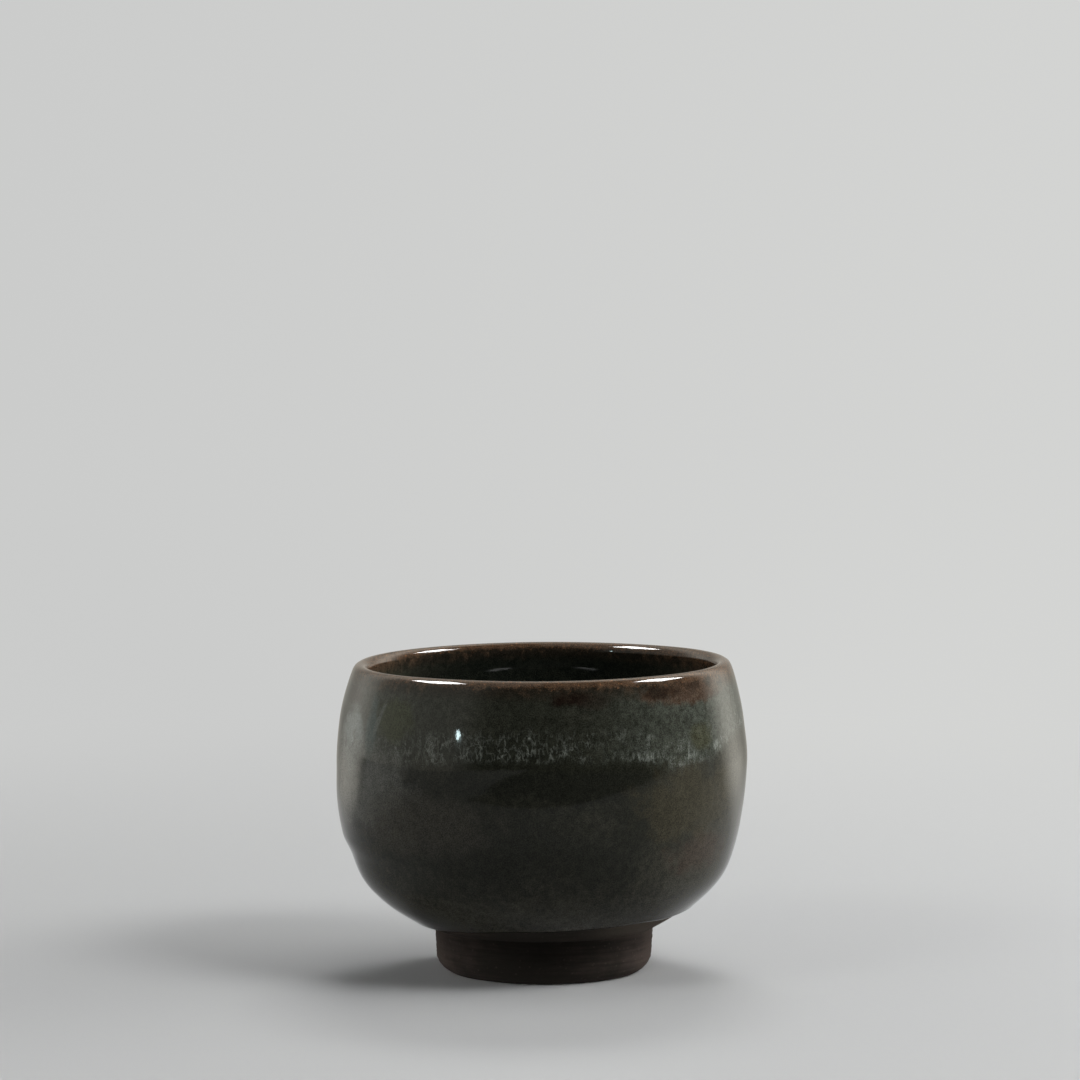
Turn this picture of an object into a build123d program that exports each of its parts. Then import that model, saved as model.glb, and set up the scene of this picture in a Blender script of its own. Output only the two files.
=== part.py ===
"""Guinomi sake cup: a thrown stoneware bowl on a low foot ring, with two coats of glaze.

Millimetres, +Z up. The origin is on the table, under the middle of the bowl's belly.
"""
from build123d import *
import os

# Thrown bowl, bare clay
belly_radius = 33.6
belly_height = 34.6
lip_draw_in = 3.4
lip_thickness = 1.6
clay_height = 50.9
wall_thickness = 3.2

# Trimmed underside of the bowl: a straight flare that rounds up into the belly
knuckle_draw_in = 3.45
knuckle_height = 14.2
knuckle_round = 20.0

# Inside of the bowl
floor_thickness = 4.0
floor_corner_draw_in = 3.4
well_round = 17.0

# Foot ring, turned slightly off the bowl's axis
foot_height = 7.4
foot_radius = 18.15
foot_taper = 0.3
foot_offset = 0.3
foot_ledge = 0.1
tread_width = 1.6
outer_bevel_width = 2.25
outer_bevel_height = 2.3
outer_bevel_bulge = 0.3
inner_bevel_width = 0.7
inner_bevel_height = 0.7
recess_draft = 0.6

# Glaze coats
base_glaze = 0.4
rim_coat = 0.2
glaze_line_rise = 1.6
glaze_line_tilt = 3.8
band_drop = 9.4
inner_band_drop = 4.4

# Share of the lip's thickness that each of its two rounds takes
lip_round_share = 0.36

# Room that cutting shapes run past the clay
cut_margin = 5.0

# Places that follow from the sizes above
seat_radius = foot_radius + foot_offset + foot_ledge
floor_height = foot_height + floor_thickness
inner_belly_radius = belly_radius - wall_thickness
lip_radius = belly_radius - lip_draw_in
knuckle_radius = belly_radius - knuckle_draw_in
floor_corner_radius = inner_belly_radius - floor_corner_draw_in
lip_round = lip_thickness * lip_round_share
lip_outer = (lip_radius + lip_thickness / 2, clay_height)
lip_inner = (lip_radius - lip_thickness / 2, clay_height)
seat_edge = (seat_radius, foot_height)
knuckle = (knuckle_radius, knuckle_height)
belly = (belly_radius, belly_height)
inner_belly = (inner_belly_radius, belly_height)
floor_corner = (floor_corner_radius, floor_height)
glaze_line_height = foot_height + glaze_line_rise
sky_height = clay_height + cut_margin


def rounded(face, corner, radius):
    """The face with its corner nearest to the given point rounded."""
    nearest = face.vertices().sort_by_distance(Vector(*corner))[0]
    return fillet(nearest, radius)


def inner_wall():
    """Edges of the bowl's inside, from the lip down to the middle of the floor."""
    upper = TangentArc(inner_belly, lip_inner, tangent=(0, 1))
    lower = TangentArc(inner_belly, floor_corner, tangent=(0, -1))
    floor = Line(floor_corner, (0, floor_height))
    return upper + lower + floor


def clay_section():
    """Half section of the bare bowl, with a rounded lip, knuckle and well."""
    underside = Line((0, foot_height), seat_edge)
    flare = Line(seat_edge, knuckle)
    lower_belly = TangentArc(belly, knuckle, tangent=(0, -1))
    upper_belly = TangentArc(belly, lip_outer, tangent=(0, 1))
    lip = Line(lip_outer, lip_inner)
    axis = Line((0, floor_height), (0, foot_height))
    face = make_face(underside + flare + lower_belly + upper_belly + lip + inner_wall() + axis)
    face = rounded(face, knuckle, knuckle_round)
    face = rounded(face, floor_corner, well_round)
    face = rounded(face, lip_outer, lip_round)
    return rounded(face, lip_inner, lip_round)


def cavity_section(clay):
    """Half section of the space inside the bowl, up past the lip to its middle line."""
    rise = Line(lip_inner, (lip_inner[0], sky_height))
    sky = Line((lip_inner[0], sky_height), (0, sky_height))
    axis = Line((0, sky_height), (0, floor_height))
    hollow = rounded(make_face(inner_wall() + rise + sky + axis), floor_corner, well_round)
    inner_half_of_lip = zone((lip_inner[0], clay_height - lip_thickness), (lip_radius, sky_height))
    return hollow + inner_half_of_lip - clay


def zone(low, high):
    """Rectangle of the half section between two corners."""
    width = high[0] - low[0]
    height = high[1] - low[1]
    return Pos(low[0], low[1]) * Rectangle(width, height, align=(Align.MIN, Align.MIN))


def turn(section):
    """Solid made by turning a half section about the upright axis."""
    return revolve(Plane.XZ * section, Axis.Z)


def make_bowl(clay):
    """Thrown clay wall and floor."""
    return turn(clay)


def make_foot_ring():
    """Turned ring that the bowl stands on, with a bevelled tread."""
    lower_radius = foot_radius - foot_taper
    tread_outer = lower_radius - outer_bevel_width
    tread_inner = tread_outer - tread_width
    recess_radius = tread_inner - inner_bevel_width
    wall_foot = (lower_radius, outer_bevel_height)
    wall = Line((foot_radius, foot_height), wall_foot)
    outer_bevel = SagittaArc(wall_foot, (tread_outer, 0), outer_bevel_bulge)
    tread = Line((tread_outer, 0), (tread_inner, 0))
    inner_bevel = Line((tread_inner, 0), (recess_radius, inner_bevel_height))
    recess_top = (recess_radius - recess_draft, foot_height)
    recess = Line((recess_radius, inner_bevel_height), recess_top)
    seat = Line(recess_top, (foot_radius, foot_height))
    face = make_face(wall + outer_bevel + tread + inner_bevel + recess + seat)
    return Pos(foot_offset, 0, 0) * turn(face)


def make_outer_glaze(clay, cavity, glazed):
    """Base coat on the outside, from the middle of the lip to a slanted line above the foot."""
    reach = belly_radius + cut_margin
    half = zone((0, foot_height - cut_margin), (reach, sky_height))
    coat = turn((glazed - clay - cavity) & half)
    glaze_line = Plane((0, 0, glaze_line_height)).rotated((0, -glaze_line_tilt, 0))
    return split(coat, bisect_by=glaze_line, keep=Keep.TOP)


def make_inner_glaze(cavity, glazed):
    """Liner coat, from the middle of the lip over the wall and floor."""
    return turn(glazed & cavity)


def make_rim_glaze(glazed, banded):
    """Second coat over the lip, deeper on the outside than on the inside."""
    reach = belly_radius + cut_margin
    outside = zone((lip_radius, clay_height - band_drop), (reach, sky_height))
    inside = zone((0, clay_height - inner_band_drop), (lip_radius, sky_height))
    return turn((banded - glazed) & (outside + inside))


clay_face = clay_section()
cavity_face = cavity_section(clay_face)
glazed_face = offset(clay_face, base_glaze)
banded_face = offset(clay_face, base_glaze + rim_coat)

pieces = {
    "bowl": make_bowl(clay_face),
    "foot_ring": make_foot_ring(),
    "outer_glaze": make_outer_glaze(clay_face, cavity_face, glazed_face),
    "inner_glaze": make_inner_glaze(cavity_face, glazed_face),
    "rim_glaze": make_rim_glaze(glazed_face, banded_face),
}

os.makedirs("parts", exist_ok=True)
for name, piece in pieces.items():
    export_step(piece, f"parts/{name}.step")
    box = piece.bounding_box()
    print(name, "volume", round(piece.volume, 1), "size", box.size)
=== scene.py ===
"""Looks of a guinomi sake cup: thrown stoneware under a dark glaze, with a milky band at the lip.

Sizes are in millimetres unless a name says otherwise, and meshes are in metres. A bearing is an angle
round the upright axis, 0 at the front of the cup and growing to the right.
"""
import logging
import math
from dataclasses import dataclass
from enum import Enum
from typing import Any, Callable, Optional, Sequence, Union

import bpy
import numpy as np
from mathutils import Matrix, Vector


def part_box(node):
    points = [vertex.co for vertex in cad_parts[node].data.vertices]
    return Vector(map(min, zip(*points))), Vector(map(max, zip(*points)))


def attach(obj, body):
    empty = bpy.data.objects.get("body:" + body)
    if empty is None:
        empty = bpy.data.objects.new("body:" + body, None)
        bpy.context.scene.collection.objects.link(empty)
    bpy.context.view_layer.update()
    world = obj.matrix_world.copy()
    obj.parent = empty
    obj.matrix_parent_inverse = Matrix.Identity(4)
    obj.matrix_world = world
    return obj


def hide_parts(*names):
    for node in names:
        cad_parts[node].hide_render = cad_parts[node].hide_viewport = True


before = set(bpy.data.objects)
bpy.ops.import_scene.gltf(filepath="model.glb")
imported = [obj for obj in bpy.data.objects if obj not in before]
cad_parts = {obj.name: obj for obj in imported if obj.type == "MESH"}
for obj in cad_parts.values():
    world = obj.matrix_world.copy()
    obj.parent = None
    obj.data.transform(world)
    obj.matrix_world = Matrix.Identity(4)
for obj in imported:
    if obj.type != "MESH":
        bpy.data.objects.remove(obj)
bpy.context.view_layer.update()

LOG = logging.getLogger("cup")
MM = 0.001
BODY = "root"
WELD_DISTANCE = 0.001 * MM
CREASE_ANGLE = math.radians(38.0)

Place = tuple[float, float, float]
Colour = tuple[float, float, float]
Profile = np.ndarray
Number = Union["Field", float]


def smoothstep(low: float, high: float, value: np.ndarray) -> np.ndarray:
    """Rises smoothly from 0 at low to 1 at high."""
    share = np.clip((value - low) / (high - low), 0.0, 1.0)
    return share * share * (3.0 - 2.0 * share)


def smooth_curve(knots: Sequence[Sequence[float]], spacing: float, end_heading: Sequence[float]) -> Profile:
    """Draws a smooth line through a few knots of a half section.

    Args:
        knots: Radius and height of each knot.
        spacing: Distance between the points of the line.
        end_heading: Unit direction of the line at its last knot.

    Returns:
        Evenly spaced rows of radius and height, from the first knot to the last.
    """
    knot = np.array(knots, float)
    step = np.sqrt(np.linalg.norm(np.diff(knot, axis=0), axis=1))[:, None]
    chord = np.diff(knot, axis=0) / step
    slope = np.empty_like(knot)
    slope[1:-1] = (chord[:-1] * step[1:] + chord[1:] * step[:-1]) / (step[:-1] + step[1:])
    slope[0] = 1.5 * chord[0] - 0.5 * slope[1]
    slope[-1] = np.array(end_heading) * np.linalg.norm(chord[-1])
    u = np.linspace(0.0, 1.0, 80)[:, None]
    spans = [
        (2 * u**3 - 3 * u**2 + 1) * knot[i]
        + (u**3 - 2 * u**2 + u) * step[i] * slope[i]
        + (3 * u**2 - 2 * u**3) * knot[i + 1]
        + (u**3 - u**2) * step[i] * slope[i + 1]
        for i in range(len(knot) - 1)
    ]
    dense = np.concatenate(spans)
    run = np.concatenate([[0.0], np.cumsum(np.linalg.norm(np.diff(dense, axis=0), axis=1))])
    even = np.linspace(0.0, run[-1], int(round(run[-1] / spacing)) + 1)
    return np.column_stack([np.interp(even, run, dense[:, 0]), np.interp(even, run, dense[:, 1])])


# Shader maths


@dataclass(frozen=True)
class Field:
    """A value that changes over a surface. Python's operators on it add Math nodes."""

    bench: "Bench"
    socket: bpy.types.NodeSocket

    def __add__(self, other: Number) -> "Field":
        """Sum of two values."""
        return self.bench.math("ADD", self, other)

    def __sub__(self, other: Number) -> "Field":
        """Difference of two values."""
        return self.bench.math("SUBTRACT", self, other)

    def __rsub__(self, other: Number) -> "Field":
        """Difference of two values, with this one taken off."""
        return self.bench.math("SUBTRACT", other, self)

    def __mul__(self, other: Number) -> "Field":
        """Product of two values."""
        return self.bench.math("MULTIPLY", self, other)

    def __truediv__(self, other: Number) -> "Field":
        """Quotient of two values."""
        return self.bench.math("DIVIDE", self, other)

    __radd__ = __add__
    __rmul__ = __mul__


class Bench:
    """A node tree on the bench: adds its nodes."""

    def __init__(self, tree: bpy.types.NodeTree) -> None:
        """Takes a node tree."""
        self.tree = tree

    def add(
        self,
        kind: str,
        settings: Optional[dict[str, Any]] = None,
        inputs: Optional[dict[Union[int, str], Any]] = None,
        output: Union[int, str, None] = 0,
    ) -> Optional[Field]:
        """Adds a node of any type.

        Args:
            kind: The node's type.
            settings: Values of the node's own settings, which are set first.
            inputs: Values or links of its sockets, by name or number.
            output: The output to hand back, if the node has one.

        Returns:
            The chosen output as a field.
        """
        node = self.tree.nodes.new(kind)
        for name, value in (settings or {}).items():
            setattr(node, name, value)
        for key, value in (inputs or {}).items():
            self.plug(node.inputs[key], value)
        return None if output is None else Field(self, node.outputs[output])

    def plug(self, socket: bpy.types.NodeSocket, value: Any) -> None:
        """Links a field to a socket, or sets a plain value on it. A plain colour is solid."""
        if isinstance(value, Field):
            self.tree.links.new(value.socket, socket)
        else:
            socket.default_value = (*value, 1.0) if socket.type == "RGBA" else value

    def math(self, operation: str, *values: Number) -> Field:
        """Adds a Math node."""
        return self.add("ShaderNodeMath", {"operation": operation}, dict(enumerate(values)))

    def vector(self, operation: str, *values: Any, scale: Optional[Number] = None) -> Field:
        """Adds a Vector Math node."""
        inputs: dict[Union[int, str], Any] = dict(enumerate(values))
        if scale is not None:
            inputs["Scale"] = scale
        output = "Value" if operation in ("DOT_PRODUCT", "LENGTH") else "Vector"
        return self.add("ShaderNodeVectorMath", {"operation": operation}, inputs, output)

    def mix(self, share: Number, first: Any, second: Any) -> Field:
        """Mixes two colours."""
        return self.add("ShaderNodeMix", {"data_type": "RGBA"}, {0: share, 6: first, 7: second}, 2)

    def rise(self, value: Number, low: Number, high: Number) -> Field:
        """Rises smoothly from 0 where the value is low to 1 where it is high."""
        inputs = {0: value, 1: low, 2: high}
        return self.add("ShaderNodeMapRange", {"interpolation_type": "SMOOTHSTEP"}, inputs)

    def noise(self, place: Field, size: float, detail: float = 2.0, rough: float = 0.5) -> Field:
        """Cloudy noise with features of about the given size, from 0 to 1."""
        inputs = {"Vector": place, "Scale": 1.0 / size, "Detail": detail, "Roughness": rough}
        return self.add("ShaderNodeTexNoise", None, inputs)

    def cells(self, place: Field, size: float) -> Field:
        """Distance to the nearest of grains that lie about the given size apart, in that size."""
        return self.add("ShaderNodeTexVoronoi", None, {"Vector": place, "Scale": 1.0 / size}, "Distance")

    def parts(self, vector: Field) -> list[Field]:
        """The three numbers of a vector."""
        node = self.add("ShaderNodeSeparateXYZ", inputs={0: vector}).socket.node
        return [Field(self, part) for part in node.outputs]


class CupBench(Bench):
    """A material on the bench, with the cup's own coordinates."""

    def __init__(self, name: str, wall_radius: float) -> None:
        """Starts a material.

        Args:
            name: Name of the material.
            wall_radius: Radius of the drum that patterns are wrapped on.
        """
        self.material = bpy.data.materials.new(name)
        self.material.use_nodes = True
        super().__init__(self.material.node_tree)
        self.shader = self.tree.nodes["Principled BSDF"]
        self.point = self.vector("SCALE", self.add("ShaderNodeTexCoord", output="Object"), scale=1.0 / MM)
        self.across, _, self.height = self.parts(self.point)
        level = self.vector("MULTIPLY", self.point, (1.0, 1.0, 0.0))
        upright = self.vector("MULTIPLY", self.point, (0.0, 0.0, 1.0))
        self.radius = self.vector("LENGTH", level)
        self.heading = self.vector("NORMALIZE", level)
        self.aside = 1.0 - self.math("ABSOLUTE", self.parts(self.heading)[1])
        self.drum = self.vector("ADD", self.vector("SCALE", self.heading, scale=wall_radius), upright)

    def stretched(self, share: float) -> Field:
        """Coordinates on the drum, in which a pattern comes out tall where the share is under 1."""
        return self.vector("MULTIPLY", self.drum, (1.0, 1.0, share))

    def shaken(self, place: Field, size: float, amount: float) -> Field:
        """Coordinates pushed about by noise, so that a pattern loses its straight lines."""
        inputs = {"Vector": place, "Scale": 1.0 / size, "Detail": 2.0}
        push = self.add("ShaderNodeTexNoise", None, inputs, "Color")
        centred = self.vector("SUBTRACT", push, (0.5, 0.5, 0.5))
        return self.vector("ADD", place, self.vector("SCALE", centred, scale=2.0 * amount))

    def bump(self, height: Number, relief: float) -> Field:
        """Normal of a surface with a fine relief of that depth."""
        return self.add("ShaderNodeBump", None, {"Strength": 1.0, "Distance": relief * MM, "Height": height})

    def finish(self, **sockets: Any) -> bpy.types.Material:
        """Plugs the shader's sockets, named with underscores for spaces, and hands the material back."""
        for name, value in sockets.items():
            self.plug(self.shader.inputs[name.replace("_", " ")], value)
        return self.material


@dataclass(frozen=True)
class GlazeAndLightPatch:
    """A soft patch where a glaze pooled, thinned or picked up iron, or a patch of painted light, shade or
    reflection.

    Attributes:
        bearing: Middle of the patch round the cup, in degrees.
        height: Middle of the patch above the table.
        half_turn: Half of its width round the cup, in degrees.
        half_height: Half of its height.
        colour: What it is tinted with.
        strength: How far it is tinted, from 0 to 1.
        slant: How far it leans to the right, in degrees per millimetre up.
    """

    bearing: float
    height: float
    half_turn: float
    half_height: float
    colour: Colour
    strength: float
    slant: float = 0.0

    def over(self, bench: CupBench, colour: Field, ragged: Field) -> Field:
        """Lays the patch over a colour.

        Args:
            bench: Material to work in.
            colour: Colour below the patch.
            ragged: Noise about 0 that frays the edge of the patch.

        Returns:
            The colour with the patch.
        """
        turn = math.radians(self.bearing)
        facing = bench.vector("DOT_PRODUCT", bench.heading, (math.sin(turn), -math.cos(turn), 0.0))
        aside = bench.vector("DOT_PRODUCT", bench.heading, (math.cos(turn), math.sin(turn), 0.0))
        up = bench.height - self.height
        across = (aside - up * math.radians(self.slant)) / math.radians(self.half_turn)
        upward = up / self.half_height
        reach = across * across + upward * upward + ragged + (1.0 - bench.rise(facing, 0.0, 0.3)) * 9.0
        return bench.mix((1.0 - bench.rise(reach, 0.2, 1.4)) * self.strength, colour, self.colour)


class GlazeZone(Enum):
    """Which side of the cup a glaze is on."""

    OUTSIDE = "glaze_outside"
    INSIDE = "glaze_inside"
    LIP = "glaze_lip"

    @property
    def shine(self) -> float:
        """How strongly the glaze mirrors there, on the shader's own scale."""
        return 0.5 if self is GlazeZone.INSIDE else 0.16


@dataclass(frozen=True)
class BareClay:
    """Unglazed iron-bearing stoneware with fine sand in it.

    Attributes:
        dark: Colour of the darkest clay.
        warm_and_sidelit: Colour where it was fired warmer, and the painted lighter clay at the sides, where
            more light falls than at the front.
        sand: Colour of the sand.
        bounce_light_tint: Colour of the paler strip above the foot, at the right: painted bounce light from
            the floor.
        grain: Size of the grit.
        cloud: Size of the cloudy changes of tone.
        roughness: Roughness of the surface.
        relief: Depth of the grit and of the fine turning lines.
    """

    dark: Colour = (0.0260, 0.0228, 0.0192)
    warm_and_sidelit: Colour = (0.064, 0.049, 0.042)
    sand: Colour = (0.12, 0.10, 0.085)
    bounce_light_tint: Colour = (0.105, 0.088, 0.072)
    grain: float = 0.35
    cloud: float = 7.0
    roughness: float = 0.82
    relief: float = 0.07

    def make(self, sizes: "CupSizes") -> bpy.types.Material:
        """Builds the clay's material."""
        bench = CupBench("bare_clay", sizes.belly_radius)
        cloud = bench.noise(bench.point, self.cloud, 4.0, 0.6)
        lines = bench.noise(bench.vector("MULTIPLY", bench.point, (0.08, 0.08, 1.6)), 1.0, 3.0, 0.6)
        grit = bench.noise(bench.point, self.grain, 3.0, 0.7)
        sand = 1.0 - bench.rise(bench.cells(bench.point, 3.0 * self.grain), 0.08, 0.24)
        # Painted light: the clay is painted lighter and warmer at the sides than at the front, where less
        # light falls.
        tone = cloud * 0.6 + lines * 0.4 + (bench.aside - 0.4) * 0.5
        colour = bench.mix(bench.rise(tone, 0.3, 0.7), self.dark, self.warm_and_sidelit)
        # Painted light: the clay above the foot at the right is painted paler, where bounce light from the
        # floor falls.
        bounce_lit = bench.rise(bench.height, 6.6, 8.6) * bench.rise(bench.across, 4.0, 17.0)
        colour = bench.mix(bounce_lit * (0.5 + lines * 0.6), colour, self.bounce_light_tint)
        colour = bench.mix(bench.rise(grit, 0.58, 0.78) * 0.55, colour, self.dark)
        colour = bench.mix(sand * 0.2, colour, self.sand)
        relief = grit * 0.6 + lines * 0.5 + sand * 0.3
        return bench.finish(
            Base_Color=colour,
            Roughness=self.roughness + (grit - 0.5) * 0.2,
            Normal=bench.bump(relief, self.relief),
            Specular_IOR_Level=0.04,
        )


@dataclass(frozen=True)
class DarkGlaze:
    """Iron glaze that is olive-black on the body, milky in a band under the lip and rusty on the lip.

    Attributes:
        deep: Colour where the glaze is thick, and the painted darker glaze at the front, where less light
            falls.
        olive: Colour where it is thinner, and the painted lighter glaze at the sides and low on the body.
        band: Colour of the milky band.
        run: Colour of the runs that fray the band.
        rust: Colour of the lip.
        umber: Colour of the lip's dark spots.
        ember: Colour of the lip's bright flecks.
        thin: Colour along the glaze's lower edge.
        liner: Colour of the well.
        edge_height: Height of the lower edge in the middle of the front.
        edge_slope: How far that edge rises for each millimetre to the right.
        band_foot: Height where the band begins.
        lip_foot: Height where the rust begins.
        crest: Heights between which the lip turns all rust.
        flecked: Heights between which the flecks set in.
        roughness: Roughness of the surface.
        peel: Depth of its faint ripple.
        glaze_and_light_patches: Patches on the outside, of glaze colour and of painted light, shade and
            reflection.
    """

    deep: Colour = (0.0200, 0.0208, 0.0147)
    olive: Colour = (0.0540, 0.0515, 0.0375)
    band: Colour = (0.0720, 0.0800, 0.0650)
    run: Colour = (0.185, 0.200, 0.175)
    rust: Colour = (0.090, 0.053, 0.031)
    umber: Colour = (0.020, 0.0135, 0.0090)
    ember: Colour = (0.24, 0.105, 0.045)
    thin: Colour = (0.034, 0.024, 0.017)
    liner: Colour = (0.0105, 0.0128, 0.0098)
    edge_height: float = 9.1
    edge_slope: float = 0.064
    band_foot: float = 39.4
    lip_foot: float = 47.8
    crest: tuple[float, float] = (50.1, 50.9)
    flecked: tuple[float, float] = (49.6, 50.7)
    roughness: float = 0.06
    peel: float = 0.006
    glaze_and_light_patches: tuple[GlazeAndLightPatch, ...] = (
        GlazeAndLightPatch(8.0, 48.7, 6.0, 1.3, (0.012, 0.007, 0.005), 0.92),
        GlazeAndLightPatch(15.0, 48.2, 6.0, 1.2, (0.020, 0.015, 0.011), 0.6),
        GlazeAndLightPatch(-47.0, 44.4, 8.5, 3.6, (0.056, 0.062, 0.034), 0.85),
        GlazeAndLightPatch(51.0, 41.6, 5.5, 2.4, (0.062, 0.062, 0.036), 0.7),
        GlazeAndLightPatch(-71.0, 47.2, 6.5, 1.7, (0.044, 0.033, 0.025), 0.8),
        # Pale patch at the left edge: partly a pale glaze patch, partly a painted reflection of the bright
        # left side.
        GlazeAndLightPatch(-68.0, 40.5, 8.0, 5.4, (0.23, 0.26, 0.245), 0.8),
        GlazeAndLightPatch(-56.5, 42.0, 3.0, 5.5, (0.085, 0.112, 0.102), 0.8),
        GlazeAndLightPatch(-53.0, 44.2, 1.2, 3.4, (0.16, 0.18, 0.16), 0.5, 0.7),
        # Painted light: a paler zone over the left of the body, where side light falls.
        GlazeAndLightPatch(-66.0, 33.5, 26.0, 7.5, (0.135, 0.137, 0.120), 0.7),
        # Painted shade under the trimmed facet's edge at the left, where the wall faces down.
        GlazeAndLightPatch(-36.0, 18.6, 34.0, 4.6, (0.024, 0.025, 0.018), 0.55),
        # Painted light on the wall above the trimmed facet at the left, with a browner tint.
        GlazeAndLightPatch(-38.0, 28.0, 24.0, 5.5, (0.064, 0.059, 0.047), 0.55),
        # Painted reflection: the dark band across the front mirrors the dark room in front of the cup.
        GlazeAndLightPatch(10.0, 34.8, 28.0, 2.9, (0.012, 0.013, 0.0095), 0.55),
        GlazeAndLightPatch(48.0, 48.8, 16.0, 2.0, (0.084, 0.042, 0.025), 0.6),
        GlazeAndLightPatch(38.0, 49.2, 6.0, 1.2, (0.014, 0.010, 0.007), 0.75),
        GlazeAndLightPatch(52.0, 22.5, 14.0, 3.6, (0.075, 0.047, 0.033), 0.4),
        # Partly warmer glaze, partly painted light on the right of the body, where more light falls.
        GlazeAndLightPatch(46.0, 31.0, 20.0, 6.5, (0.065, 0.056, 0.032), 0.55),
        GlazeAndLightPatch(150.0, 43.0, 16.0, 4.0, (0.056, 0.062, 0.034), 0.7),
        GlazeAndLightPatch(-140.0, 44.5, 14.0, 3.6, (0.17, 0.19, 0.18), 0.5),
        GlazeAndLightPatch(110.0, 47.4, 12.0, 1.6, (0.012, 0.007, 0.005), 0.6),
        GlazeAndLightPatch(-165.0, 24.0, 22.0, 5.0, (0.085, 0.050, 0.034), 0.4),
    )

    def make(self, skin: "Skin", zone: GlazeZone) -> bpy.types.Material:
        """Builds the glaze's material for one side of the cup.

        Args:
            skin: Line of the glazed surface.
            zone: Side of the cup.

        Returns:
            The material.
        """
        bench = CupBench(zone.value, skin.sizes.belly_radius)
        grain = bench.noise(bench.point, 0.17, 2.0, 0.7)
        mottle = bench.noise(bench.point, 1.1, 5.0, 0.68)
        cloud = bench.noise(bench.point, 9.0, 3.0, 0.55)
        if zone is GlazeZone.OUTSIDE:
            colour = self.outside(bench, mottle, cloud)
        elif zone is GlazeZone.INSIDE:
            colour = self.inside(bench, mottle)
        else:
            outer_half = bench.rise(bench.radius, skin.lip_radius - 0.5, skin.lip_radius + 0.5)
            colour = bench.mix(outer_half, self.inside(bench, mottle), self.outside(bench, mottle, cloud))
        inner = 1.0 - bench.rise(bench.radius, skin.lip_radius - 1.0, skin.lip_radius)
        colour = self.lip(bench, colour, mottle, inner)
        speckle = 0.45 + bench.rise(grain * 0.75 + mottle * 0.25, 0.35, 0.65) * 1.1
        peel = bench.noise(bench.point, 0.9, 2.0, 0.5) + grain * 0.15
        return bench.finish(
            Base_Color=bench.vector("SCALE", colour, scale=speckle),
            Roughness=self.roughness + (mottle - 0.5) * 0.06,
            Normal=bench.bump(peel, self.peel),
            Specular_IOR_Level=zone.shine,
        )

    def outside(self, bench: CupBench, mottle: Field, cloud: Field) -> Field:
        """Colour of the outside below the lip.

        Args:
            bench: Material to work in.
            mottle: Noise of a millimetre or two.
            cloud: Noise of a centimetre.

        Returns:
            The colour.
        """
        drips = bench.noise(bench.stretched(0.36), 0.8, 4.0, 0.65)
        aside = bench.aside
        sideways = bench.parts(bench.heading)[0]
        dip = bench.rise(aside, 0.0, 0.3) * 1.5 - bench.rise(sideways, 0.75, 1.0) * 4.0
        rise = bench.height + (cloud - 0.5) * 2.2 + dip - self.band_foot
        # Painted light: the glaze is painted lighter at the sides than at the front, where less light falls,
        # and lighter low on the body.
        low = 1.0 - bench.rise(bench.height, 12.0, 24.0)
        tone = cloud * 0.7 + mottle * 0.3 + (aside - 0.35) * 0.6 + low * 0.30
        colour = bench.mix(bench.rise(tone, 0.28, 0.76), self.deep, self.olive)
        # The milky band is partly real and partly painted light: it is painted fainter at the front, where
        # less light falls, and stronger at the sides and at the right.
        milk_and_side_light = 0.10 + aside * 1.5 + bench.rise(sideways, 0.15, 0.6) * 0.30
        veil = bench.rise(rise + (drips - 0.5) * 5.0, -2.2, 1.2) * bench.math("MINIMUM", milk_and_side_light, 1.0)
        colour = bench.mix(veil * (0.35 + bench.rise(mottle, 0.22, 0.70) * 0.65), colour, self.band)
        colour = bench.mix(self.feathers(bench, rise), colour, self.run)
        ragged = (mottle - 0.5) * 1.6 + (bench.noise(bench.point, 3.6, 3.0, 0.6) - 0.5) * 2.4
        for each_patch in self.glaze_and_light_patches:
            colour = each_patch.over(bench, colour, ragged)
        edge = bench.height - self.edge_height - bench.across * self.edge_slope
        thinned = 1.0 - bench.rise(edge + (mottle - 0.5), 0.1, 1.3)
        return bench.mix(thinned * 0.8, colour, self.thin)

    def feathers(self, bench: CupBench, rise: Field) -> Field:
        """Milky runs that fray where the band ends: a web of loops, and brushed strokes at the right.

        Args:
            bench: Material to work in.
            rise: Height above the band's foot.

        Returns:
            The runs' share, from 0 to 1.
        """
        right = bench.rise(bench.vector("DOT_PRODUCT", bench.heading, (0.50, -0.87, 0.0)), 0.45, 0.95)
        patches = bench.rise(bench.noise(bench.drum, 2.8, 2.0, 0.5), 0.45, 0.60)
        swirl = bench.noise(bench.shaken(bench.stretched(0.55), 1.1, 0.6), 1.25, 2.0, 0.6)
        loops = 1.0 - bench.rise(bench.math("ABSOLUTE", swirl - 0.5), 0.0, 0.06)
        licks = bench.shaken(bench.stretched(0.42), 1.2, 0.35)
        strokes = bench.rise(bench.noise(licks, 0.95, 3.0, 0.65), 0.49, 0.63)
        left = bench.rise(bench.vector("DOT_PRODUCT", bench.heading, (-0.62, -0.78, 0.0)), 0.55, 0.95)
        marks = loops * (0.10 + patches * 0.20 + left * 0.20) + strokes * patches * (0.24 + right * 0.24)
        zone = bench.rise(rise, -1.4, 0.4) * (1.0 - bench.rise(rise, 2.4, 5.6))
        fringe = bench.rise(bench.noise(licks, 0.7, 3.0, 0.6), 0.46, 0.60) * (0.45 + patches * 0.55)
        fringe = fringe * bench.rise(bench.across, 8.0, 17.0)
        fringe = fringe * bench.rise(rise, -0.8, -0.1) * (1.0 - bench.rise(rise, 0.3, 1.9))
        return bench.math("MINIMUM", zone * marks + fringe * 0.6, 0.9)

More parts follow.
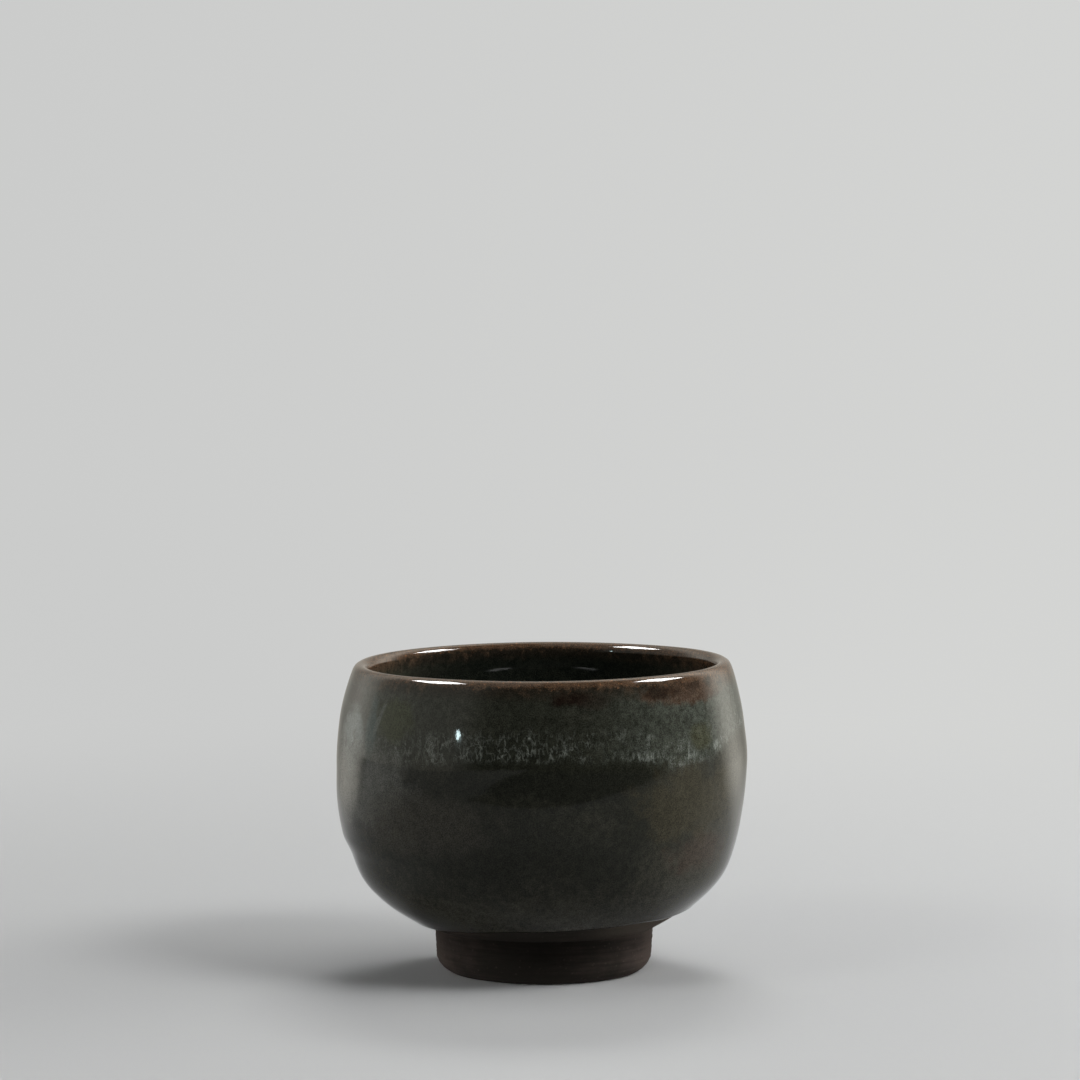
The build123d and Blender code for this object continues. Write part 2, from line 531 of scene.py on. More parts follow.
    def inside(self, bench: CupBench, mottle: Field) -> Field:
        """Colour of the well and the inner wall, which is paler high up at its sides."""
        well = bench.mix(bench.rise(mottle, 0.35, 0.75) * 0.5, self.liner, self.deep)
        pale = bench.rise(bench.height, 41.0, 47.5) * bench.rise(bench.aside, 0.05, 0.6)
        return bench.mix(pale * (0.35 + mottle * 0.7), well, self.olive)

    def lip(self, bench: CupBench, colour: Field, mottle: Field, inner: Field) -> Field:
        """Lays the rusty lip over a colour.

        Args:
            bench: Material to work in.
            colour: Colour below the lip.
            mottle: Noise that frays the lip's lower edge.
            inner: 1 on the inner side of the lip, and 0 on the outer.

        Returns:
            The colour with the lip.
        """
        height = bench.height + (mottle - 0.5) * (2.4 - inner * 1.0) + inner * (bench.aside * 1.2 - 0.2)
        # Painted light: the rust is painted stronger at the sides of the lip than at the front, where less
        # light falls.
        iron = bench.noise(bench.drum, 2.4, 4.0, 0.65) + (bench.aside - 0.35) * 0.35
        rusty = bench.mix(bench.rise(iron, 0.42, 0.64), self.umber, self.rust)
        colour = bench.mix(bench.rise(height, self.lip_foot, self.lip_foot + 2.2) * 0.6, colour, rusty)
        colour = bench.mix(bench.rise(height, *self.crest) * 0.75, colour, self.rust)
        flecks = bench.rise(bench.noise(bench.point, 0.4, 2.0, 0.6), 0.58, 0.70)
        return bench.mix(bench.rise(height, *self.flecked) * flecks * 0.55, colour, self.ember)


# Shapes


@dataclass(frozen=True)
class CupSizes:
    """Sizes of the cup, read from the frame.

    Attributes:
        belly_radius: Outside of the base glaze at the belly.
        lip_height: Top of the base glaze on the lip.
        seat_height: Underside of the bowl, where the foot ring begins.
        well_height: Top of the liner glaze in the middle of the well.
        base_coat: Thickness of the base and liner glazes.
        rim_coat: Thickness of the second coat over the lip.
        foot_radius: Outer radius of the foot ring at its top.
        foot_offset: How far the foot ring stands to the right of the bowl's axis.
    """

    belly_radius: float
    lip_height: float
    seat_height: float
    well_height: float
    base_coat: float
    rim_coat: float
    foot_radius: float
    foot_offset: float

    @classmethod
    def from_frame(cls) -> "CupSizes":
        """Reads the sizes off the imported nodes."""
        bowl, foot, outer, inner, rim = (
            [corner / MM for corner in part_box(node)]
            for node in ("bowl", "foot_ring", "outer_glaze", "inner_glaze", "rim_glaze")
        )
        base_coat = outer[1].z - bowl[1].z
        return cls(
            belly_radius=outer[1].x,
            lip_height=outer[1].z,
            seat_height=foot[1].z,
            well_height=inner[0].z + base_coat,
            base_coat=base_coat,
            rim_coat=rim[1].z - outer[1].z,
            foot_radius=(foot[1].x - foot[0].x) / 2.0,
            foot_offset=(foot[1].x + foot[0].x) / 2.0,
        )


@dataclass(frozen=True)
class Skin:
    """Line of the glazed surface in a half section, from the foot over the lip to the middle of the well.

    Attributes:
        sizes: Sizes of the cup.
        spacing: Distance between the line's points.
        lip_radius: Radius of the lip's middle line.
        lip_round: Radius that the glazed lip is rounded by.
        wall: Thickness of the glazed wall at the belly.
        well_round: Radius between the wall and the floor of the well.
    """

    sizes: CupSizes
    spacing: float = 0.45
    lip_radius: float = 30.05
    lip_round: float = 1.2
    wall: float = 4.0
    well_round: float = 16.6

    def knots(self) -> list[tuple[float, float]]:
        """Radius and height of the points that the line passes through."""
        belly = self.sizes.belly_radius
        outside = [
            (belly - 15.25, self.sizes.seat_height - 0.35),
            (belly - 8.3, 11.6),
            (belly - 3.75, 16.6),
            (belly - 1.55, 22.6),
            (belly - 0.05, 34.0),
            (belly - 0.72, 42.4),
        ]
        lip_middle = self.sizes.lip_height - self.lip_round
        lip = [
            (self.lip_radius + self.lip_round * math.cos(turn), lip_middle + self.lip_round * math.sin(turn))
            for turn in np.radians((13.0, 50.0, 90.0, 130.0, 170.0))
        ]
        inner = belly - self.wall
        inner_side = inner - 0.3
        corner = inner_side - self.well_round
        well_top = self.sizes.well_height + self.well_round
        well = [
            (corner + self.well_round * math.cos(turn), well_top - self.well_round * math.sin(turn))
            for turn in np.radians((0.0, 45.0, 90.0))
        ]
        return outside + lip + [(inner_side, 43.0), (inner, 34.6)] + well + [(0.0, self.sizes.well_height)]

    def line(self) -> tuple[Profile, Profile, np.ndarray]:
        """Points of the line, their directions into the clay, and the distance run to each."""
        points = smooth_curve(self.knots(), self.spacing, (-1.0, 0.0))
        heading = np.gradient(points, axis=0)
        heading /= np.linalg.norm(heading, axis=1)[:, None]
        inward = np.column_stack([-heading[:, 1], heading[:, 0]])
        run = np.concatenate([[0.0], np.cumsum(np.linalg.norm(np.diff(points, axis=0), axis=1))])
        return points, inward, run

    def at(self, run: np.ndarray, depth: Union[float, np.ndarray]) -> Profile:
        """Points at given distances along the line and depths under it.

        Args:
            run: Distances along the line from the foot.
            depth: Depths into the clay, one for all or one for each.

        Returns:
            Rows of radius and height.
        """
        points, inward, known = self.line()
        depths = np.broadcast_to(depth, np.shape(run))
        radius = np.interp(run, known, points[:, 0]) + depths * np.interp(run, known, inward[:, 0])
        height = np.interp(run, known, points[:, 1]) + depths * np.interp(run, known, inward[:, 1])
        return np.column_stack([np.maximum(radius, 0.0), height])

    def grid(self, start: float, end: float) -> np.ndarray:
        """Distances of the line's own points between two places, and the two ends."""
        run = self.line()[2]
        between = run[(run > start + 0.1) & (run < end - 0.1)]
        return np.concatenate([[start], between, [end]])

    def crest(self) -> float:
        """Distance along the line to the top of the lip."""
        points, _, run = self.line()
        return float(run[np.argmax(points[:, 1])])

    def end(self) -> float:
        """Length of the whole line."""
        return float(self.line()[2][-1])

    def run_at(self, height: float, inside: bool = False) -> float:
        """Distance along the line to a height, on the outer or the inner wall.

        Args:
            height: Height above the table.
            inside: True for the inner wall.

        Returns:
            The distance from the line's start.
        """
        points, _, run = self.line()
        top = int(np.argmax(points[:, 1]))
        if inside:
            return float(np.interp(-height, -points[top:, 1], run[top:]))
        return float(np.interp(height, points[: top + 1, 1], run[: top + 1]))

    def outer_radius(self, height: np.ndarray) -> np.ndarray:
        """Radius of the outer wall at given heights."""
        points, _, _ = self.line()
        top = int(np.argmax(points[:, 1]))
        return np.interp(height, points[: top + 1, 1], points[: top + 1, 0])


@dataclass(frozen=True)
class HandMarks:
    """What the potter's hands left: an uneven wall, a trimmed facet at the left, a lip that isn't level.

    Attributes:
        skin: The even surface that the marks are made on.
        facet_step: How far the wall overhangs the trimmed facet.
        facet_height: Height of the facet's upper edge at the left.
        facet_fall: How far that edge comes down towards the front.
        facet_edge: Height over which the wall steps out.
        flare_swell: How far the left of the flare stands out.
        lip_rise: How far the lip rises at the right and falls at the left.
        waver: Depth of the wall's slow unevenness.
    """

    skin: Skin
    facet_step: float = 0.60
    facet_height: float = 21.4
    facet_fall: float = 1.8
    facet_edge: float = 3.6
    flare_swell: float = 0.42
    lip_rise: float = 0.30
    waver: float = 0.035

    def shape(self, place: np.ndarray) -> np.ndarray:
        """Moves the points of an even piece to where the hand-made one has them.

        Args:
            place: Rows of x, y and z.

        Returns:
            The moved rows.
        """
        x, y, z = place.T
        radius = np.maximum(np.hypot(x, y), 1e-6)
        turn = np.arctan2(y, x)
        left = ((1.0 - np.cos(turn)) / 2.0) ** 3
        edge = self.facet_height - self.facet_fall * (1.0 - left)
        step = smoothstep(-self.facet_edge / 2.0, self.facet_edge / 2.0, z - edge)
        step *= 1.0 - 0.8 * smoothstep(25.0, 35.0, z)
        flare = smoothstep(8.0, 12.5, z) * (1.0 - smoothstep(13.5, 19.0, z))
        slow = np.sin(2.0 * turn + 0.21 * z) + 0.7 * np.sin(3.0 * turn - 0.33 * z + 1.3)
        quick = 0.5 * np.sin(5.0 * turn + 0.55 * z + 0.4) + 0.35 * np.sin(0.9 * z + 1.5 * np.sin(turn))
        swell = left * (self.facet_step * step + self.flare_swell * flare) + self.waver * (slow + quick)
        outer = self.skin.outer_radius(z)
        near_skin = smoothstep(-2.2, -1.0, radius - outer) * smoothstep(7.6, 9.0, z)
        near_skin *= 1.0 - smoothstep(46.0, 50.5, z)
        moved = radius + swell * near_skin
        high = smoothstep(36.0, 50.0, z)
        lift = self.lip_rise * np.cos(turn) + 0.05 * np.sin(3.0 * turn + 0.8) + 0.03 * np.sin(5.0 * turn)
        return np.column_stack([x * moved / radius, y * moved / radius, z + lift * high])


def spin_section(name: str, section: Profile, steps: int) -> bpy.types.Object:
    """Turns a half section into a closed piece, as on a wheel: a quarter is spun, then copied round.

    Args:
        name: Name of the piece.
        section: Rows of radius and height, from the axis to the axis or round to the start.
        steps: Facets round the axis, a multiple of 4.

    Returns:
        The new piece.
    """
    points = [Vector((radius * MM, 0.0, height * MM)) for radius, height in section]
    bpy.ops.object.select_all(action="DESELECT")
    bpy.ops.mesh.primitive_plane_add(size=MM, location=(0.0, 0.0, 0.0))
    piece = bpy.context.object
    piece.name = name
    piece.data.name = name
    bpy.ops.object.mode_set(mode="EDIT")
    bpy.ops.mesh.select_all(action="SELECT")
    bpy.ops.mesh.merge(type="CENTER")
    bpy.ops.transform.translate(value=points[0])
    for start, end in zip(points, points[1:]):
        bpy.ops.mesh.extrude_vertices_move(TRANSFORM_OT_translate={"value": end - start})
    axis = {"center": (0.0, 0.0, 0.0), "axis": (0.0, 0.0, 1.0)}
    bpy.ops.mesh.select_all(action="SELECT")
    bpy.ops.mesh.spin(steps=steps // 4, angle=math.tau / 4.0, **axis)
    bpy.ops.mesh.select_all(action="SELECT")
    bpy.ops.mesh.spin(steps=3, dupli=True, angle=math.tau * 3.0 / 4.0, **axis)
    bpy.ops.mesh.select_all(action="SELECT")
    bpy.ops.mesh.remove_doubles(threshold=WELD_DISTANCE)
    bpy.ops.mesh.normals_make_consistent(inside=False)
    bpy.ops.object.mode_set(mode="OBJECT")
    return piece


def reshape(piece: bpy.types.Object, move: Callable[[np.ndarray], np.ndarray]) -> None:
    """Moves every point of a piece by a rule.

    Args:
        piece: The piece.
        move: Takes rows of x, y and z in millimetres and gives the moved rows.
    """
    mesh = piece.data
    place = np.empty(len(mesh.vertices) * 3)
    mesh.vertices.foreach_get("co", place)
    moved = move(place.reshape(-1, 3) / MM) * MM
    mesh.vertices.foreach_set("co", moved.ravel())
    mesh.update()


def dress(piece: bpy.types.Object, material: bpy.types.Material, node: str) -> None:
    """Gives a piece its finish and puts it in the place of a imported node.

    Args:
        piece: The piece.
        material: Its finish.
        node: The node that the piece stands for.
    """
    bpy.ops.object.select_all(action="DESELECT")
    piece.select_set(True)
    bpy.context.view_layer.objects.active = piece
    bpy.ops.object.shade_smooth_by_angle(angle=CREASE_ANGLE)
    piece.data.materials.clear()
    piece.data.materials.append(material)
    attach(piece, BODY)
    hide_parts(node)
    LOG.info("%s: %d faces", piece.name, len(piece.data.polygons))


@dataclass(frozen=True)
class TurningLine:
    """A scratch that the turning tool left part of the way round the foot.

    Attributes:
        bearing: Middle of the scratch, in degrees.
        height: Height of its middle.
        half_turn: Half of its length, in degrees.
        slant: Rise per degree.
        depth: Depth of the scratch.
        width: Width of the scratch.
    """

    bearing: float
    height: float
    half_turn: float
    slant: float
    depth: float
    width: float

    def cut(self, bearing: np.ndarray, height: np.ndarray) -> np.ndarray:
        """Depth of the scratch at given places."""
        away = (bearing - self.bearing + 180.0) % 360.0 - 180.0
        across = (height - self.height - self.slant * away) / self.width
        ends = smoothstep(0.6, 1.0, np.abs(away) / self.half_turn)
        return self.depth * np.exp(-across * across) * (1.0 - ends)


@dataclass(frozen=True)
class ClayBody:
    """The thrown bowl and the turned foot ring, in bare clay.

    Attributes:
        skin: Line of the glazed surface.
        marks: Hand marks of the wall.
        clay: Finish.
        steps: Facets round the axis.
        foot_taper: How much narrower the foot is at its lower edge.
        bevel_width: Width of the foot's outer bevel.
        bevel_height: Height of the foot's outer bevel.
        bevel_bulge: How far that bevel swells.
        tread: Width of the ring that touches the table.
        inner_bevel: Width and height of the inner bevel.
        recess_draft: How much narrower the recess is at its top.
        foot_points: Points along the foot's wall, outer bevel and recess.
        underside_points: Points along the bowl's underside.
        spiral_depth: Depth of the turning tool's spiral under the bowl.
        spiral_rate: How far the tool turned for each millimetre out, in radians.
        spiral_edge: Radii between which the spiral ends.
        lines: Scratches of the turning tool.
    """

    skin: Skin
    marks: HandMarks
    clay: BareClay = BareClay()
    steps: int = 256
    foot_taper: float = 0.3
    bevel_width: float = 2.25
    bevel_height: float = 2.3
    bevel_bulge: float = 0.35
    tread: float = 1.6
    inner_bevel: float = 0.7
    recess_draft: float = 0.6
    foot_points: tuple[int, int, int] = (40, 16, 24)
    underside_points: int = 42
    spiral_depth: float = 0.10
    spiral_rate: float = 2.6
    spiral_edge: tuple[float, float] = (11.0, 12.2)
    lines: tuple[TurningLine, ...] = (
        TurningLine(25.0, 3.9, 26.0, 0.008, 0.13, 0.14),
        TurningLine(-10.0, 5.6, 70.0, -0.004, 0.07, 0.20),
        TurningLine(70.0, 4.9, 60.0, 0.003, 0.06, 0.18),
        TurningLine(-80.0, 3.4, 50.0, 0.005, 0.08, 0.16),
        TurningLine(170.0, 4.3, 80.0, -0.003, 0.10, 0.16),
        TurningLine(120.0, 6.1, 90.0, 0.002, 0.06, 0.22),
    )

    def bowl_section(self) -> Profile:
        """Half section of the bowl, from the middle of its underside over the lip to the well."""
        sizes = self.skin.sizes
        clay = self.skin.at(self.skin.grid(0.0, self.skin.end()), sizes.base_coat)
        clay[0, 1] = sizes.seat_height
        underside = np.linspace((0.0, sizes.seat_height), clay[0], self.underside_points)
        return np.concatenate([underside[:-1], clay])

    def foot_section(self) -> Profile:
        """Half section of the foot ring, round from its seat and back."""
        top = self.skin.sizes.seat_height
        radius = self.skin.sizes.foot_radius
        low = radius - self.foot_taper
        tread_outer = low - self.bevel_width
        tread_inner = tread_outer - self.tread
        recess_radius = tread_inner - self.inner_bevel
        wall_points, bevel_points, recess_points = self.foot_points
        wall = np.linspace((radius, top), (low, self.bevel_height), wall_points)
        bevel = np.linspace((low, self.bevel_height), (tread_outer, 0.0), bevel_points)
        swell = 0.7 * self.bevel_bulge * np.sin(np.linspace(0.0, math.pi, bevel_points))
        bevel[1:-1] += np.column_stack([swell, -swell])[1:-1]
        recess_top = (recess_radius - self.recess_draft, top)
        recess = np.linspace((recess_radius, self.inner_bevel), recess_top, recess_points)
        return np.concatenate([wall, bevel[1:], [(tread_inner, 0.0)], recess, wall[:1]])

    def spiral(self, place: np.ndarray) -> np.ndarray:
        """Cuts the turning tool's spiral into the underside inside the foot."""
        x, y, z = place.T
        radius = np.hypot(x, y)
        under = smoothstep(0.02, 0.0, np.abs(z - self.skin.sizes.seat_height))
        under *= 1.0 - smoothstep(*self.spiral_edge, radius)
        wave = np.sin(radius * self.spiral_rate - np.arctan2(y, x)) * smoothstep(0.0, 2.0, radius)
        return np.column_stack([x, y, z + self.spiral_depth * (wave + 1.0) * under])

    def turned(self, place: np.ndarray) -> np.ndarray:
        """Cuts the turning lines into the foot's outer wall, and sets the ring off the bowl's axis."""
        x, y, z = place.T
        radius = np.hypot(x, y)
        turn = np.arctan2(x, -y)
        wall = smoothstep(15.8, 16.6, radius) * (1.0 - smoothstep(6.9, 7.3, z))
        cut = sum(line.cut(np.degrees(turn), z) for line in self.lines)
        ribs = 0.018 * np.sin(7.5 * z + 0.8 * np.sin(turn)) + 0.02 * np.sin(2.9 * z + 1.0)
        uneven = 0.06 * np.sin(2.0 * turn + 0.5) + 0.04 * np.sin(3.0 * turn + 0.35 * z)
        moved = radius - (cut + ribs - uneven) * wall
        return np.column_stack([x * moved / radius + self.skin.sizes.foot_offset, y * moved / radius, z])

    def build(self) -> None:
        """Builds the bowl and the foot ring, and dresses them."""
        material = self.clay.make(self.skin.sizes)
        bowl = spin_section("clay_bowl", self.bowl_section(), self.steps)
        reshape(bowl, self.marks.shape)
        reshape(bowl, self.spiral)
        dress(bowl, material, "bowl")
        foot = spin_section("clay_foot_ring", self.foot_section(), self.steps)
        reshape(foot, self.turned)
        dress(foot, material, "foot_ring")


@dataclass(frozen=True)
class GlazeCoats:
    """The base glaze outside, the liner inside and the second coat over the lip.

    Attributes:
        skin: Line of the glazed surface.
        marks: Hand marks of the wall.
        glaze: Finish.
        steps: Facets round the axis.
        line_height: Height of the glaze's lower edge at the cup's sides.
        line_tilt: How far that edge rises at the right and falls at the left.
        line_front: How much higher it is at the front than at the back.
        bead: How far the rolled edge stands out.
        bead_run: How far up the roll reaches.
        band_foot: Height of the second coat's lower edge outside.
        inner_band_foot: Height of its lower edge inside.
        feather: Length over which the second coat thins out outside.
        inner_feather: Length over which it thins out inside.
        tuck: How deep it sits in the coat below.
    """

    skin: Skin
    marks: HandMarks
    glaze: DarkGlaze = DarkGlaze()
    steps: int = 256
    line_height: float = 9.1
    line_tilt: float = 1.4
    line_front: float = 0.25
    bead: float = 0.06
    bead_run: float = 1.0
    band_foot: float = 37.4
    inner_band_foot: float = 46.5
    feather: float = 11.0
    inner_feather: float = 4.5
    tuck: float = 0.01

    def outer_section(self) -> Profile:
        """Half section of the base glaze, from its rolled lower edge to the top of the lip."""
        coat = self.skin.sizes.base_coat
        start = self.skin.run_at(self.line_height)
        roll = np.linspace(0.0, 1.0, 9) ** 2 * self.bead_run
        climb = np.concatenate([start + roll, self.skin.grid(start + self.bead_run, self.skin.crest())[1:]])
        up = climb - start
        round_end = np.clip(1.0 - up / self.bead_run, 0.0, 1.0)
        depth = coat * (1.0 - np.sqrt(1.0 - round_end**2))
        depth -= self.bead * np.exp(-(((up - 0.8) / 0.5) ** 2)) * np.clip(up / self.bead_run, 0.0, 1.0)
        back = self.skin.grid(start, self.skin.crest())[::-1]
        return np.concatenate([self.skin.at(climb, depth), self.skin.at(back, coat)])

    def liner_section(self) -> Profile:
        """Half section of the liner, from the middle of the well up to the lip and back under it."""
        run = self.skin.grid(self.skin.crest(), self.skin.end())
        return np.concatenate([self.skin.at(run[::-1], 0.0), self.skin.at(run, self.skin.sizes.base_coat)])

    def rim_section(self) -> Profile:
        """Half section of the second coat, which thins out at both of its edges."""
        start = self.skin.run_at(self.band_foot)
        end = self.skin.run_at(self.inner_band_foot, inside=True)
        run = self.skin.grid(start, end)
        up, down = run - start, end - run
        inner = 0.2 * smoothstep(0.0, 0.5, down) + 0.8 * smoothstep(0.0, self.inner_feather, down)
        body = smoothstep(0.0, self.feather, up) * inner
        surface = self.skin.at(run, self.tuck - (self.tuck + self.skin.sizes.rim_coat) * body)
        return np.concatenate([surface, self.skin.at(run[::-1], self.tuck)])

    def slide(self, place: np.ndarray, amount: np.ndarray) -> np.ndarray:
        """Slides points of the outer wall along its line.

        Args:
            place: Rows of x, y and z.
            amount: How far each point slides up the wall.

        Returns:
            The moved rows.
        """
        x, y, z = place.T
        radius = np.hypot(x, y)
        points, _, run = self.skin.line()
        top = int(np.argmax(points[:, 1])) + 1
        along = np.interp(z, points[:top, 1], run[:top])
        shift = self.skin.at(along + amount, 0.0) - self.skin.at(along, 0.0)
        moved = radius + shift[:, 0]
        return np.column_stack([x * moved / radius, y * moved / radius, z + shift[:, 1]])

    def slant(self, place: np.ndarray) -> np.ndarray:
        """Tilts and wavers the base glaze's lower edge."""
        x, y, z = place.T
        turn = np.arctan2(y, x)
        ripple = 0.14 * np.sin(3.0 * turn + 0.6) + 0.09 * np.sin(7.0 * turn + 2.0)
        ripple += 0.05 * np.sin(13.0 * turn)
        rise = self.line_tilt * np.cos(turn) - self.line_front * np.sin(turn) + ripple
        steep = self.skin.run_at(self.line_height + 1.0) - self.skin.run_at(self.line_height)
        fade = 1.0 - smoothstep(self.line_height, self.line_height + 7.0, z)
        return self.slide(place, rise * steep * fade)

    def drip(self, place: np.ndarray) -> np.ndarray:
        """Lets the second coat's lower edge run down in uneven tongues."""
        x, y, z = place.T
        turn = np.arctan2(y, x)
        runs = 0.7 * np.sin(5.0 * turn + 1.0) + 0.5 * np.sin(9.0 * turn + 2.3)
        runs += 0.35 * np.sin(17.0 * turn + 0.4)
        outside = smoothstep(-2.0, -1.2, np.hypot(x, y) - self.skin.outer_radius(z))
        fade = (1.0 - smoothstep(self.band_foot, self.band_foot + 6.0, z)) * outside
        return self.slide(place, runs * fade)

    def build(self) -> None:
        """Builds the three coats and dresses them."""
        outside, inside, lip = (self.glaze.make(self.skin, zone) for zone in GlazeZone)
        base = spin_section("base_glaze_coat", self.outer_section(), self.steps)
        reshape(base, self.slant)
        reshape(base, self.marks.shape)
        dress(base, outside, "outer_glaze")
        liner = spin_section("liner_glaze_coat", self.liner_section(), self.steps)
        reshape(liner, self.marks.shape)
        dress(liner, inside, "inner_glaze")
        rim = spin_section("rim_glaze_coat", self.rim_section(), self.steps)
        reshape(rim, self.drip)
        reshape(rim, self.marks.shape)
        dress(rim, lip, "rim_glaze")


# Studio


class LightUse(Enum):
    """What a soft light is there for."""

    FILL = "lights rough surfaces, and no glossy one mirrors it"
    GLINT = "shows in glossy surfaces, and lights no rough one"


@dataclass(frozen=True)
class Softbox:
    """A soft area light.

    Attributes:
        name: Name of the light.
        place: Where it is, in metres.
        aim: What it faces, in metres.
        width: Its width, in metres.
        length: Its length, in metres.
        power: Its power, in watts.
        use: What it is there for.
        colour: Colour of its light.
    """

    name: str
    place: Place
    aim: Place
    width: float
    length: float
    power: float
    use: LightUse = LightUse.FILL
    colour: Colour = (1.0, 1.0, 1.0)

    def hang(self) -> None:
        """Hangs the light."""
        bpy.ops.object.light_add(type="AREA", location=self.place)
        light = bpy.context.object
        light.name = self.name
        towards = Vector(self.aim) - Vector(self.place)
        light.rotation_euler = towards.to_track_quat("-Z", "Y").to_euler()
        light.data.shape = "RECTANGLE"
        light.data.size = self.width
        light.data.size_y = self.length
        light.data.energy = self.power
        light.data.color = self.colour
        light.visible_camera = False
        light.visible_diffuse = self.use is LightUse.FILL
        light.visible_glossy = self.use is LightUse.GLINT


@dataclass(frozen=True)
class Studio:
    """Pale floor, soft lights and the camera.

    Attributes:
        floor_radius: Radius of the floor, in metres.
        floor_fade: Distances from the cup between which the floor fades out, in metres.
        floor_grey: Colour of the floor.
        backdrop_left: What the floor fades into at the left.
        backdrop_right: What it fades into at the right.
        left_level: Brightness of the air at the left, for rough surfaces.
        low_level: Brightness of the air at both sides from below, for rough surfaces.
        side_level: Brightness of the left side that the glaze mirrors.
        rear_levels: Brightness of the left and right rear corners that the glaze mirrors.
        far_level: Brightness of the middle of the rear that the glaze mirrors.
        corner_start: How far back the rear corners begin and are full, from 0 beside the cup to 1 behind it.
        corner_end: How far back they begin to fade and are gone.
        right_soft: How much softer the right corner begins than the left.
        mirror_tint: Colour of the light that the glaze mirrors.
        pale_share: Brightness of the pale card on the floor, as a share of the rear's.
        pale_fade: Distances from the cup between which that card sets in, in metres.
        camera_place: Where the camera stands, in metres.
        camera_pitch: How far it looks down, in degrees.
        camera_roll: How far it leans to the right, in degrees.
        lens: Focal length on a 36 mm sensor.
        lights: The soft lights.
    """

    floor_radius: float = 1.2
    floor_fade: tuple[float, float] = (0.06, 0.36)
    floor_grey: Colour = (0.455, 0.46, 0.46)
    backdrop_left: Colour = (0.595, 0.60, 0.595)
    backdrop_right: Colour = (0.655, 0.66, 0.65)
    left_level: float = 0.65
    low_level: float = 0.80
    side_level: float = 1.02
    rear_levels: tuple[float, float] = (1.75, 2.7)
    far_level: float = 0.50
    corner_start: tuple[float, float] = (0.38, 0.52)
    corner_end: tuple[float, float] = (0.62, 0.92)
    right_soft: float = 0.10
    mirror_tint: Colour = (1.0, 0.97, 0.87)
    pale_share: float = 0.85
    pale_fade: tuple[float, float] = (0.08, 0.30)
    camera_place: Place = (-0.00024, -0.9, 0.1502)
    camera_pitch: float = 4.99
    camera_roll: float = 0.05
    lens: float = 182.1
    lights: tuple[Softbox, ...] = (
        Softbox("right_box", (0.50, -0.34, 0.60), (0.0, 0.0, 0.02), 0.36, 0.24, 3.8),
        Softbox("right_side_box", (0.65, -0.04, 0.40), (0.0, 0.0, 0.02), 0.40, 0.30, 1.0),
        Softbox("right_low_box", (0.62, 0.22, 0.20), (0.0, 0.0, 0.03), 0.46, 0.30, 2.0),
        Softbox("left_box", (-0.50, -0.42, 0.52), (0.0, 0.0, 0.02), 0.24, 0.16, 1.15),
        Softbox("back_box", (0.05, 0.52, 0.62), (0.0, 0.0, 0.02), 0.30, 0.18, 2.7),
        Softbox("top_box", (0.18, 0.08, 0.92), (0.0, 0.05, 0.0), 0.60, 0.50, 1.6),
        Softbox("right_strip", (0.70, 0.15, 0.83), (0.0, 0.0, 0.05), 0.42, 0.34, 30.0, LightUse.GLINT),
        Softbox("left_strip", (-0.58, 0.10, 0.84), (0.0, 0.0, 0.05), 0.42, 0.30, 34.0, LightUse.GLINT),
        Softbox(
            "front_spark", (-1.46, -1.30, 0.345), (0.0, 0.0, 0.04), 0.06, 0.11, 2.0,
            LightUse.GLINT, colour=(0.75, 0.97, 1.0),
        ),
    )

    def rear_glow(self, bench: Bench, across: Field, depth: Field) -> Field:
        """Brightness of the rear that the glaze mirrors: pale in its two corners.

        Args:
            bench: Node tree to work in.
            across: How far a direction goes to the right.
            depth: How far it goes to the back.

        Returns:
            The brightness.
        """
        left, right = self.rear_levels
        side = bench.rise(across, -0.1, 0.1)
        corner = left + side * (right - left)
        start, full = self.corner_start
        near = bench.rise(depth, start - side * self.right_soft, full + side * self.right_soft)
        far = bench.rise(depth, *self.corner_end)
        return near * (1.0 - far) * corner + far * self.far_level

    def lay_card(
        self,
        place: Place,
        size: tuple[float, float],
        material: bpy.types.Material,
    ) -> bpy.types.Object:
        """Lays a card on the floor that only the glaze mirrors.

        Args:
            place: Middle of the card, in metres.
            size: Its width and depth, in metres.
            material: What it is made of, which also names it.

        Returns:
            The card.
        """
        bpy.ops.mesh.primitive_plane_add(size=1.0, location=place)
        card = bpy.context.object
        card.name = material.name
        card.scale = (*size, 1.0)
        bpy.ops.object.transform_apply(location=True, rotation=True, scale=True)
        card.data.materials.append(material)
        card.visible_camera = False
        card.visible_diffuse = False
        card.visible_shadow = False
        return card

    def pale_paper(self) -> bpy.types.Material:
        """Builds a glowing card that only the glaze mirrors: a painted reflection of the floor behind the
        cup, about as pale as the rear above it.
        """
        bench = CupBench("pale_reflection_card", 1.0)
        across, depth, _ = bench.parts(bench.heading)
        glow = self.rear_glow(bench, across, depth) * self.pale_share
        begin, full = (distance / MM for distance in self.pale_fade)
        behind = bench.rise(depth, self.corner_start[0] - self.right_soft, self.corner_start[1])
        return bench.finish(
            Base_Color=(0.0, 0.0, 0.0),
            Emission_Color=bench.vector("SCALE", self.mirror_tint, scale=glow),
            Emission_Strength=1.0,
            Specular_IOR_Level=0.0,
            Alpha=bench.rise(bench.radius, begin, full) * behind,
        )

